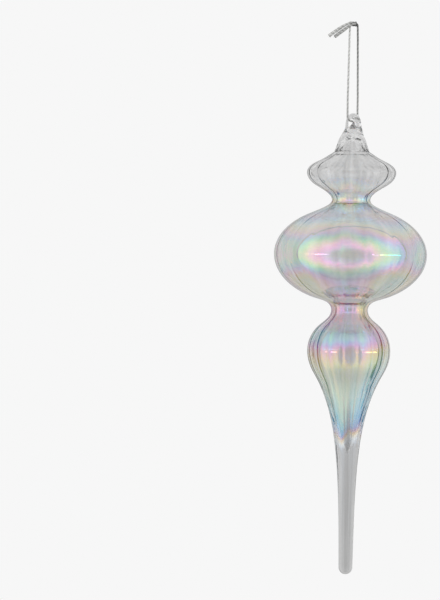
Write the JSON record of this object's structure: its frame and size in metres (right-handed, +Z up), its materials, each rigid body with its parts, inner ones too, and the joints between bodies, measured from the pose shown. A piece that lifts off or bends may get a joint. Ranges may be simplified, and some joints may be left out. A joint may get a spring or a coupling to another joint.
{
  "type": "hanging ornament",
  "caption": "Blown glass finial drop with a bead, a round bulb, a teardrop and a long stem, hanging by a glass eye from a knotted thread loop.",
  "frame": {"origin": "where a hook's wire touches the thread loop, under the knot", "axes": "+Z up along the glass's axis, -Y towards the viewer of its front, +X to that viewer's right"},
  "size_m": [0.0676, 0.0676, 0.2443],
  "materials": {
    "glass": "clear, with a thin iridescent lustre",
    "thread": "twisted silver thread"
  },
  "bodies": {
    "hanger": {"knot": "thread", "tail_front": "thread", "tail_back": "thread"},
    "thread": {"thread_left": "thread", "thread_right": "thread"},
    "bight": {"thread_bight": "thread"},
    "ornament": {"glass_body": "glass", "glass_crown": "glass"}
  },
  "joints": [
    {"name": "sway", "type": "hinge", "parent": "hanger", "child": "thread", "pos_m": [0, 0, 0], "axis": [-0.5, 0.866, 0], "range_deg": [-45, 45], "deforming": ["thread_left", "thread_right"]},
    {"name": "twist", "type": "hinge", "parent": "thread", "child": "bight", "pos_m": [0, 0, -0.038], "axis": [0, 0, 1], "range_deg": [-180, 180], "deforming": ["thread_left", "thread_right"]},
    {"name": "swing", "type": "hinge", "parent": "bight", "child": "ornament", "pos_m": [0, 0, -0.0418], "axis": [0.866, 0.5, 0], "range_deg": [-90, 90]}
  ]
}
